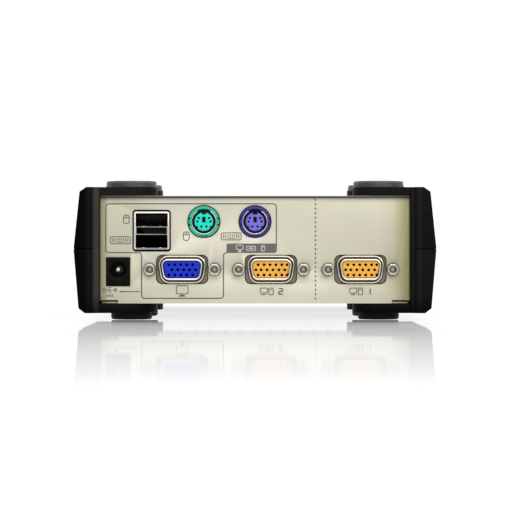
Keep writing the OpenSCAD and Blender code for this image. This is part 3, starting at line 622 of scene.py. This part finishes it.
def join_nodes():
    """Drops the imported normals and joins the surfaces' edges, before the bevels."""
    group, start, end = mesh_nodes("join_surfaces")
    drop = group.nodes.new("GeometryNodeRemoveAttribute")
    drop.inputs["Name"].default_value = "custom_normal"
    join = group.nodes.new("GeometryNodeMergeByDistance")
    join.inputs["Distance"].default_value = 1e-6
    group.links.new(start.outputs[0], drop.inputs[0])
    group.links.new(drop.outputs[0], join.inputs[0])
    group.links.new(join.outputs[0], end.inputs[0])
    return group


def smooth_nodes():
    """Smooths all but the sharp edges, after the bevels."""
    group, start, end = mesh_nodes("smooth_soft_edges")
    soft = group.nodes.new("GeometryNodeSetShadeSmooth")
    sharp = group.nodes.new("GeometryNodeSetShadeSmooth")
    sharp.domain = "EDGE"
    sharp.inputs["Shade Smooth"].default_value = False
    angle = group.nodes.new("GeometryNodeInputMeshEdgeAngle")
    wide = group.nodes.new("FunctionNodeCompare")
    wide.operation = "GREATER_THAN"
    wide.inputs[1].default_value = radians(38)
    group.links.new(angle.outputs["Unsigned Angle"], wide.inputs[0])
    group.links.new(start.outputs[0], soft.inputs[0])
    group.links.new(soft.outputs[0], sharp.inputs[0])
    group.links.new(wide.outputs[0], sharp.inputs["Selection"])
    group.links.new(sharp.outputs[0], end.inputs[0])
    return group


JOIN = join_nodes()
SMOOTH = smooth_nodes()


def dress(node, look, bevel_mm):
    """Gives a CAD node its look, and rounds its sharp edges with modifiers."""
    obj = frame["nodes"][node]
    for holder in obj.material_slots:
        holder.material = look
    join = obj.modifiers.new("join", "NODES")
    join.node_group = JOIN
    if bevel_mm:
        flat = obj.modifiers.new("flat", "DECIMATE")
        flat.decimate_type = "DISSOLVE"
        flat.angle_limit = radians(0.5)
        bevel = obj.modifiers.new("bevel", "BEVEL")
        bevel.width = bevel_mm * MM
        bevel.segments = 2
        bevel.limit_method = "ANGLE"
        bevel.angle_limit = radians(35)
        bevel.use_clamp_overlap = False
        bevel.miter_outer = "MITER_ARC"
    smooth = obj.modifiers.new("smooth", "NODES")
    smooth.node_group = SMOOTH


# Widths of the rounded edges, in millimetres
BEVELS = {
    "left_end_cap": 0.28, "right_end_cap": 0.28, "rear_panel": 0.06, "front_panel": 0.06, "top_cover": 0.15,
    "base_tray": 0.12, "usb_shell": 0.13, "usb_insulator": 0.1, "mouse_housing": 0.1,
    "keyboard_housing": 0.1, "mouse_shield": 0.06, "keyboard_shield": 0.06, "console_insulator": 0.08,
    "cpu_one_insulator": 0.08, "cpu_two_insulator": 0.08, "dc_housing": 0.15, "dc_pin": 0.1,
    "front_board": 0.1, "main_board": 0.1, "upper_board": 0.1, "riser_board": 0.1, "buzzer": 0.4,
    "capacitors": 0.35, "crystal": 0.3, "voltage_regulator": 0.1, "usb_contacts": 0.06, "dc_spring": 0.06,
    "cover_screws": 0.15, "cap_screws": 0.12, "board_screws": 0.12, "switch_bases": 0.15,
    "board_standoffs": 0.12, "board_pillars": 0.12, "plunger_one": 0.15, "plunger_two": 0.15,
}


def dress_nodes():
    """Every CAD node takes its own look, or else that of its slot in the record."""
    for part in frame["record"]["subparts"]:
        look = NODE_LOOKS.get(part["node"], SLOT_LOOKS[part["material_slot"]])
        dress(part["node"], look, BEVELS.get(part["node"], 0.0))


# ---------------------------------------------------------------- connectors

def hd_shell(node, x):
    """Drawn shell: flange, a low rounded shoulder in the cut-out, and a collar with a rolled lip."""
    place = Place(node)
    lip = place.low.y
    base = PANEL_IN_Y
    back = place.high.y
    wall = 0.55
    steps = 8

    def flange(shrink, y):
        w = place.high.x - place.low.x - 2 * shrink
        h = place.high.z - place.low.z - 2 * shrink
        return at_y(rectangle(x, LOW_Z, w, h, 1 - shrink, steps), y)

    def collar(grow, y):
        return at_y(d_outline(x, LOW_Z, grow, steps), y)

    shoulder = [(1.5, 0), (1.5, 0.35), (1.45, 0.55), (1.35, 0.66), (1.2, 0.7), (0.95, 0.7), (0.84, 0.62),
                (0.8, 0.45), (0.76, 0.1), (0.7, 0), (0.06, 0), (0, 0.2)]
    rolled_lip = [(0, 0.35), (-0.05, 0.15), (-0.17, 0.04), (-0.32, 0), (-0.48, 0.04), (-0.6, 0.15),
                  (-0.65, 0.3), (-0.65, 0.45), (-wall, 0.46)]
    loops = [collar(-wall, back), flange(0.1, back), flange(0, back - 0.1), flange(0, base + 0.1),
             flange(0.1, base)]
    loops += [collar(grow, base - rise) for grow, rise in shoulder]
    loops += [collar(grow, lip + depth) for grow, depth in rolled_lip]
    skin(node + "_drawn", [loops], SHELL, closed=True, slot="bright_nickel", stands_for=[node])


def hexagon(x, z, half_flat, radius, steps):
    """Hexagon with rounded corners, two of them at the left and right."""
    reach = half_flat / cos(pi / 6)
    turn = [2 * pi / 3 - k * pi / 3 for k in range(6)]
    return rounded_path([(x + reach * cos(a), z + reach * sin(a)) for a in turn], radius, steps=steps)


def jackscrew(x, lip, root):
    """Loops of a hexagonal jackscrew with a chamfered crown and a threaded bore."""
    steps = 7
    count = 6 * (steps + 1)
    half_flat = 2.15
    shank = 1.4
    crest = 1.2
    groove = 1.4
    thread_pitch = 0.635

    def disc(radius, y):
        return at_y(ring(x, LOW_Z, radius, count), y)

    def crown(shrink, y):
        return at_y(hexagon(x, LOW_Z, half_flat - shrink, 1.1, steps), y)

    loops = [disc(shank - 0.2, root), disc(shank, root - 0.2), disc(shank, PANEL_Y),
             crown(0.12, PANEL_Y - 0.02), crown(0, PANEL_Y - 0.15), crown(0, lip + 0.75),
             crown(0.1, lip + 0.45), disc(2.0, lip + 0.14), disc(1.85, lip), disc(1.72, lip),
             disc(1.62, lip + 0.08), disc(1.42, lip + 0.5)]
    for turn in range(6):
        y = lip + 0.55 + turn * thread_pitch
        loops += [disc(crest, y + 0.12), disc(crest, y + 0.2)]
        loops += [disc(groove, y + 0.45), disc(groove, y + 0.52)]
    loops += [disc(crest, lip + 4.45), disc(0.2, lip + 4.5)]
    return loops


def jackscrews(node, x):
    """The pair of one connector, as one piece that stands for the node."""
    place = Place(node)
    apart = 24.99
    runs = [jackscrew(x + side * apart / 2, place.low.y, place.high.y) for side in (-1, 1)]
    skin(node + "_threaded", runs, JACK, slot="bright_nickel", stands_for=[node], smooth=30)


def usb_springs():
    """Small sprung tongues, two on the floor of each USB port, that rise behind the shell's face."""
    rise_by_depth = [(0.12, 0), (0.3, 0.18), (0.8, 0.42), (1.4, 0.5), (2.4, 0.35), (3.2, 0.05)]
    half = 0.5
    thick = 0.18
    runs = []
    for floor_z in (1.65, -6.65):
        for side_x in (-3.1, 3.4):
            x = USB.middle.x + side_x
            z = USB.middle.z + floor_z
            section = [(x - half, z), (x + half, z), (x + half, z - thick), (x - half, z - thick)]
            runs.append([[(px, USB.low.y + depth, pz + rise) for px, pz in section]
                         for depth, rise in rise_by_depth])
    skin("usb_springs", runs, USB_NICKEL, slot="bright_nickel", smooth=50)


# ---------------------------------------------------------------- pads, feet and buttons

# Radius of the plugs by which the pads and feet sit in the caps' tongues
PLUG_R = 4.95


def stacking_pad(node):
    """Rubber pad: a flared root, a soft rounded rim, and a shallow seat with a fine ring in its floor."""
    place = Place(node)
    top = place.high.z
    base = top - 2.5
    r = (place.high.x - place.low.x) / 2
    edge = r - 0.4
    profile = [(0.1, place.low.z), (PLUG_R, place.low.z), (PLUG_R, base), (r, base), (r, base + 0.12),
               (r - 0.12, base + 0.35), (edge + 0.05, base + 0.75), (edge, base + 1.2), (edge, top - 0.75),
               (edge - 0.07, top - 0.42), (edge - 0.24, top - 0.16), (edge - 0.5, top - 0.03),
               (edge - 0.75, top), (8.75, top), (8.45, top - 0.06), (8.27, top - 0.22), (8.2, top - 0.5),
               (8.2, top - 1.05), (8.1, top - 1.17), (7.9, top - 1.2), (6.6, top - 1.2), (6.5, top - 1.08),
               (6.2, top - 1.04), (5.9, top - 1.08), (5.8, top - 1.2), (0.1, top - 1.2)]
    turned(node + "_moulded", place.middle.x, place.middle.y, profile, RUBBER, slot="rubber",
           stands_for=[node], smooth=50)


def rubber_foot(node):
    """Rubber foot: rounded rim, a groove round its sole, and a plug that sits in the cap's tongue."""
    place = Place(node)
    r = (place.high.x - place.low.x) / 2
    root = place.high.z - 1
    profile = [(0.1, place.high.z), (PLUG_R, place.high.z), (PLUG_R, root), (r, root), (r, 1.1),
               (r - 0.05, 0.75), (r - 0.2, 0.4), (r - 0.45, 0.14), (r - 0.8, 0.02), (r - 1.1, 0), (6.4, 0),
               (6.25, 0.25), (5.95, 0.33), (5.65, 0.25), (5.5, 0), (0.1, 0)]
    turned(node + "_moulded", place.middle.x, place.middle.y, profile, SOLE, slot="rubber",
           stands_for=[node], smooth=50)


def push_button(node, body):
    """Oblong button with a retaining rim, rounded shoulders and a dished face."""
    place = Place(node)
    x = place.middle.x
    z = place.middle.z
    rim_reach = 1.2
    w = place.high.x - place.low.x - 2 * rim_reach
    h = place.high.z - place.low.z - 2 * rim_reach
    top = place.high.y
    rim = place.low.y
    dish_edge = 0.42
    dish_middle = 3.1
    dish_depth = 0.3

    def outline(grow, y):
        radius = h / 2 + grow - 0.01
        return at_y(rectangle(x, z, w + 2 * grow, h + 2 * grow, radius, steps=10), y)

    loops = [outline(1.05, rim), outline(1.18, rim + 0.13), outline(1.18, rim + 0.82),
             outline(1.05, rim + 0.95), outline(0, rim + 0.95), outline(0, top - 0.5),
             outline(-0.06, top - 0.25), outline(-0.2, top - 0.08), outline(-dish_edge, top)]
    for inset in (0.7, 1.1, 1.6, 2.1, 2.6, dish_middle):
        way = (inset - dish_edge) / (dish_middle - dish_edge)
        loops.append(outline(-inset, top - dish_depth * sin(pi / 2 * way)))
    skin(node + "_dished", [loops], BLACK, body=body, slot="black_plastic", stands_for=[node])


# ---------------------------------------------------------------- printed marks

# Widths of the printed lines
LINE = 0.38
FINE = 0.28


def mouse_mark(marks, x, z):
    marks.line(rectangle(x, z, 2.3, 3.3, 0.9), FINE, closed=True)
    marks.line([(x - 1.15, z + 0.55), (x + 1.15, z + 0.55)], FINE)
    marks.line([(x, z + 0.55), (x, z + 1.65)], FINE)


def keyboard_mark(marks, x, z):
    marks.line(rectangle(x, z, 7.7, 2.7, 0.5), FINE, closed=True)
    for step in (-2.9, -2.1, 2.1, 2.9):
        marks.line([(x + step, z - 0.75), (x + step, z + 0.75)], FINE)
    for step in (-1.2, -0.4, 0.4, 1.2):
        marks.line([(x + step, z - 0.1), (x + step, z + 0.75)], FINE)
    marks.line([(x - 1.4, z - 0.7), (x + 1.4, z - 0.7)], FINE)


def monitor_mark(marks, x, z, w=4.5, h=3.2):
    marks.line(rectangle(x, z, w, h, 0.5), FINE, closed=True)
    top = z - h / 2 - 0.35
    low = top - 0.7
    marks.patch([(x - 0.3 * w, low), (x - 0.17 * w, top), (x + 0.17 * w, top), (x + 0.3 * w, low)])


def tower_mark(marks, x, z):
    """A computer's case beside a small monitor."""
    marks.line(rectangle(x + 1.6, z, 1.7, 2.6, 0.2), FINE, closed=True)
    marks.line([(x + 1.1, z + 0.6), (x + 2.1, z + 0.6)], FINE)
    marks.line(rectangle(x - 1.2, z + 0.35, 2.7, 1.9, 0.25), FINE, closed=True)
    marks.line([(x - 2.1, z - 1.2), (x - 0.3, z - 1.2)], 0.34)


def numeral(marks, digit, x, z, h, width=0.44, right=1):
    """A 1 or a 2. The reader's right is +X, or -X where right is -1."""
    near = x - right * h * 0.36
    far = x + right * h * 0.36
    top = z + h / 2
    low = z - h / 2
    if digit == 1:
        marks.line([(x, low), (x, top)], width)
        return
    corners = [(near, top), (far, top), (far, z), (near, z), (near, low), (far, low)]
    marks.line(rounded_path(corners, [0, 0.45, 0.45, 0.45, 0.1, 0], closed=False, steps=4), width)


def polarity_mark(marks, x, z):
    """Centre pin positive: minus, sleeve, pin and plus, with the sign for direct current under them."""
    for side in (-1, 1):
        marks.line(ring(x + side * 2.2, z, 0.62, 16), 0.2, closed=True)
        marks.line([(x + side * 2.2 - 0.35, z), (x + side * 2.2 + 0.35, z)], 0.2)
        marks.line([(x + side * 1.55, z), (x + side * 0.95, z)], 0.2)
    marks.line([(x + 2.2, z - 0.35), (x + 2.2, z + 0.35)], 0.2)
    turn = [pi / 4 + 3 * pi / 2 * k / 12 for k in range(13)]
    marks.line([(x + 0.95 * cos(a), z + 0.95 * sin(a)) for a in turn], 0.22)
    marks.patch(ring(x, z, 0.42, 16))
    marks.line([(x - 1.3, z - 2.0), (x + 1.3, z - 2.0)], 0.24)
    for step in (-1, 0, 1):
        marks.line([(x + step - 0.3, z - 2.5), (x + step + 0.3, z - 2.5)], 0.24)


# The line round the console's sockets, which steps in beside the power inlet, and the label bar
BOX_LEFT = -57.75
BOX_TOP = 44.9
BOX_STEP_Z = 26.0
BOX_STEP_X = -43.9
BOX_LOW = 8.3
BOX_RIGHT_LOW = -12.2
BOX_RIGHT = 8.25
BAR_LEFT = -11.0
BAR_LOW = 25.9
BAR_TOP = 29.5


def console_outline():
    """Line round the sockets of the shared keyboard, mouse and monitor, broken by the label bar."""
    marks = Stencil()
    corners = [(BAR_LEFT + 0.3, BAR_LOW + 0.05), (BOX_RIGHT_LOW, BAR_LOW + 0.05), (BOX_RIGHT_LOW, BOX_LOW),
               (BOX_STEP_X, BOX_LOW), (BOX_STEP_X, BOX_STEP_Z), (BOX_LEFT, BOX_STEP_Z), (BOX_LEFT, BOX_TOP),
               (BOX_RIGHT, BOX_TOP), (BOX_RIGHT, BAR_TOP - 0.3)]
    marks.line(rounded_path(corners, 1.2, closed=False), LINE)
    marks.lay("console_outline", PANEL_Y, -1, INK)


def label_bar():
    """Dark bar that names the outline with three signs in place of a word."""
    marks = Stencil()
    right = BOX_RIGHT + LINE / 2
    corners = [(BAR_LEFT, BAR_TOP), (right, BAR_TOP), (right, BAR_LOW), (BAR_LEFT, BAR_LOW)]
    marks.patch(rounded_path(corners, [0.5, 0, 1.1, 0]))
    marks.lay("label_bar", PANEL_Y, -1, BAR_INK)
    signs = Stencil()
    middle = (BAR_LOW + BAR_TOP) / 2
    monitor_mark(signs, -5.9, middle + 0.35, 2.7, 1.7)
    signs.line(rectangle(-1.5, middle, 3.4, 1.6, 0.3), FINE, closed=True)
    signs.line([(-2.4, middle), (-0.6, middle)], 0.5)
    signs.line(rectangle(3.1, middle, 1.3, 2.1, 0.6), FINE, closed=True)
    signs.line([(3.1, middle + 0.2), (3.1, middle + 1)], FINE)
    signs.lay("label_bar_signs", PANEL_Y, -1, PALE_INK, lift=0.045, sink=-0.02)


def port_signs():
    """What plugs into each socket, beside or under it, and the number of the computer on the last two."""
    marks = Stencil()
    mouse_mark(marks, USB.low.x - 2.9, USB.middle.z + 4.4)
    mouse_mark(marks, MOUSE_X - 6.8, DIN_Z - 5.4)
    keyboard_mark(marks, USB.low.x - 5.2, USB.middle.z - 3.7)
    keyboard_mark(marks, KEYBOARD_X - 9.2, DIN_Z - 5.5)
    monitor_mark(marks, CONSOLE_X, LOW_Z - 7.85)
    polarity_mark(marks, DC_X - 3.2, LOW_Z - 7.9)
    arrow_z = LOW_Z - 8.6
    marks.line([(DC_X + 0.6, arrow_z), (DC_X + 8.3, arrow_z)], 0.3)
    marks.patch([(DC_X + 0.3, arrow_z - 0.15), (DC_X + 1.8, arrow_z + 0.45), (DC_X + 1.8, arrow_z - 0.15)])
    for x, digit in ((CPU_TWO_X, 2), (CPU_ONE_X, 1)):
        tower_mark(marks, x - 1.6, LOW_Z - 8.5)
        numeral(marks, digit, x + 3.8, LOW_Z - 8.5, 2.1)
    marks.lay("port_signs", PANEL_Y, -1, INK)


def divider():
    """Dotted line between the two computers' connectors."""
    marks = Stencil()
    x = 23.4
    low = 7.8
    pitch = 1.74
    dash = 0.8
    for i in range(23):
        z = low + i * pitch
        marks.line([(x, z), (x, z + dash)], 0.45)
    marks.lay("divider", PANEL_Y, -1, INK)


def button_signs():
    """Over each button its computer's number between the lights, a bracket under them and a monitor, and a
    line round it all."""
    marks = Stencil()
    lights = 3.5
    z = Place("button_one").middle.z
    marks.line(rectangle(0, z + 4.5, 66, 29, 1.5), LINE, closed=True)
    for node, digit in (("button_one", 1), ("button_two", 2)):
        x = Place(node).middle.x
        left = x - lights
        right = x + lights
        numeral(marks, digit, x, z + 9.5, 2.6, 0.5, right=-1)
        bracket = [(left, z + 7.3), (left, z + 6.2), (right, z + 6.2), (right, z + 7.3)]
        marks.line(rounded_path(bracket, 0.6, closed=False), FINE)
        monitor_mark(marks, x, z + 14.6, 3.6, 2.6)
    marks.lay("button_signs", FRONT_Y, 1, INK)


# ---------------------------------------------------------------- room, light and camera

# Brightness of the table top between the end caps, a painted shadow of the object, and the share of its
# gloss, along Y
FLOOR_SHADE = [
    (-300, 1.0), (-185, 0.94), (-108, 0.89), (-50, 0.868), (-17, 0.848), (17, 0.822), (53, 0.788),
    (134, 0.747), (190, 0.735), (260, 1.0),
]
FLOOR_GLOSS = [
    (-570, 0.0), (-535, 0.055), (-490, 0.13), (-435, 0.20), (-377, 0.263), (-288, 0.36), (-208, 0.435),
    (-135, 0.50), (-100, 0.57), (-75, 0.70), (-50, 0.92), (-42, 0.92), (-37, 0.0),
]


def floor_look():
    """White table top that glows evenly and fades out further off. At a glancing angle it mirrors the
    object, less so further in front. A soft shadow of the object is painted on it between the end caps, and
    darkens its mirror image there too."""
    look = Look("table_top", Roughness=0.8, Specular_IOR_Level=0.0, Emission_Strength=0.95)
    look.colour(look.ramp(look.noise(40), [(0.3, 0.045), (0.7, 0.055)]))
    ends = look.bands("X", [(-70, 0.0), (-44, 1.0), (48, 1.0), (70, 0.0)])
    # Painted shadow of the object between the end caps, which darkens the mirror image too
    shade = look.mix(ends, (1, 1, 1, 1), look.bands("Y", FLOOR_SHADE))
    look.link(shade, look.shader.inputs["Emission Color"])
    gloss = look.node("BsdfGlossy", {"Color": shade, "Roughness": 0.03})
    glance = look.span(look.node("LayerWeight", {"Blend": 0.5}).outputs["Facing"], 0, 1, 0.80, 0.93)
    share = look.node("Math", {0: look.bands("Y", FLOOR_GLOSS), 1: glance}, operation="MULTIPLY")
    both = look.node("MixShader", {0: share.outputs[0], 1: look.shader.outputs[0], 2: gloss.outputs[0]})
    clear = look.node("BsdfTransparent")
    away = look.node("VectorMath", {0: look.place}, operation="LENGTH").outputs["Value"]
    fade = look.span(away, 0, 1, 0.6, 0.78)
    edge = look.node("MixShader", {0: fade, 1: both.outputs[0], 2: clear.outputs[0]})
    look.link(edge.outputs[0], look.tree.nodes["Material Output"].inputs["Surface"])
    return look.material


def floor():
    """Table top, a hair under the feet's soles."""
    mesh = bpy.data.meshes.new("table_top")
    half = 0.8
    gap = 0.00005
    corners = [(-half, -half, 0), (half, -half, 0), (half, half, 0), (-half, half, 0)]
    mesh.from_pydata(corners, [], [(0, 1, 2, 3)])
    mesh.materials.append(floor_look())
    obj = bpy.data.objects.new("table_top", mesh)
    obj.location.z = cad_box[0].z - gap
    bpy.context.scene.collection.objects.link(obj)


def soft_box(name, place, aim, width, height, power):
    """Rectangular soft light."""
    light = bpy.data.lights.new(name, "AREA")
    light.shape = "RECTANGLE"
    light.size = width
    light.size_y = height
    light.energy = power
    obj = bpy.data.objects.new(name, light)
    obj.location = place
    obj.rotation_euler = (Vector(aim) - Vector(place)).to_track_quat("-Z", "Y").to_euler()
    bpy.context.scene.collection.objects.link(obj)


def room():
    """White tent: bright behind the object and above it, and darker low down around the camera, so that the
    metal has contrast. The camera itself sees plain white."""
    world = bpy.data.worlds.new("tent")
    bpy.context.scene.world = world
    world.use_nodes = True
    tent = Tree(world.node_tree)
    white = (1, 1, 1, 1)
    parts = tent.node("SeparateXYZ", {"Vector": tent.node("TexCoord").outputs["Generated"]})
    height = tent.span(parts.outputs["Z"], 0, 1, -1, 1)
    greys = tent.ramp(height, [(0.0, 0.3), (0.46, 0.42), (0.56, 0.6), (1.0, 0.9)])
    behind = tent.span(parts.outputs["Y"], 0, 1, 0.15, 0.6)
    light = tent.tree.nodes["Background"]
    tent.link(tent.mix(behind, greys, white), light.inputs["Color"])
    plain = tent.node("Background", {"Color": white, "Strength": 1.05})
    seen = tent.node("LightPath").outputs["Is Camera Ray"]
    both = tent.node("MixShader", {0: seen, 1: light.outputs[0], 2: plain.outputs[0]})
    tent.link(both.outputs[0], tent.tree.nodes["World Output"].inputs["Surface"])


def camera():
    """Long lens, square on to the connector panel, a little below the middle of the case."""
    away = 1.0605
    height = 0.0251
    data = bpy.data.cameras.new("camera")
    data.sensor_width = 36
    data.lens = 186.35
    data.clip_start = 0.05
    data.clip_end = 50
    obj = bpy.data.objects.new("camera", data)
    obj.location = (0, -away, height)
    obj.rotation_euler = (pi / 2, 0, 0)
    bpy.context.scene.collection.objects.link(obj)
    bpy.context.scene.camera = obj


# ---------------------------------------------------------------- making

dress_nodes()
for shell, x in (("console_shell", CONSOLE_X), ("cpu_one_shell", CPU_ONE_X), ("cpu_two_shell", CPU_TWO_X)):
    hd_shell(shell, x)
    jackscrews(shell.replace("shell", "jackscrews"), x)
usb_springs()
for end in ("rear", "front"):
    for side in ("left", "right"):
        stacking_pad(f"top_pad_{end}_{side}")
        rubber_foot(f"foot_{end}_{side}")
push_button("button_one", "push_button_one")
push_button("button_two", "push_button_two")

console_outline()
label_bar()
port_signs()
divider()
button_signs()

floor()
room()
soft_box("overhead", (0.1, -0.15, 1.0), (0, 0, 0), 1.2, 1.0, 6.2)
soft_box("fill", (0.25, -1.6, 0.7), (0, 0, 0.03), 1.6, 1.0, 6.4)
soft_box("key", (0.9, -0.8, 0.7), (0, 0, 0.03), 0.35, 0.35, 2.5)
camera()
bpy.context.scene.view_settings.view_transform = "Standard"
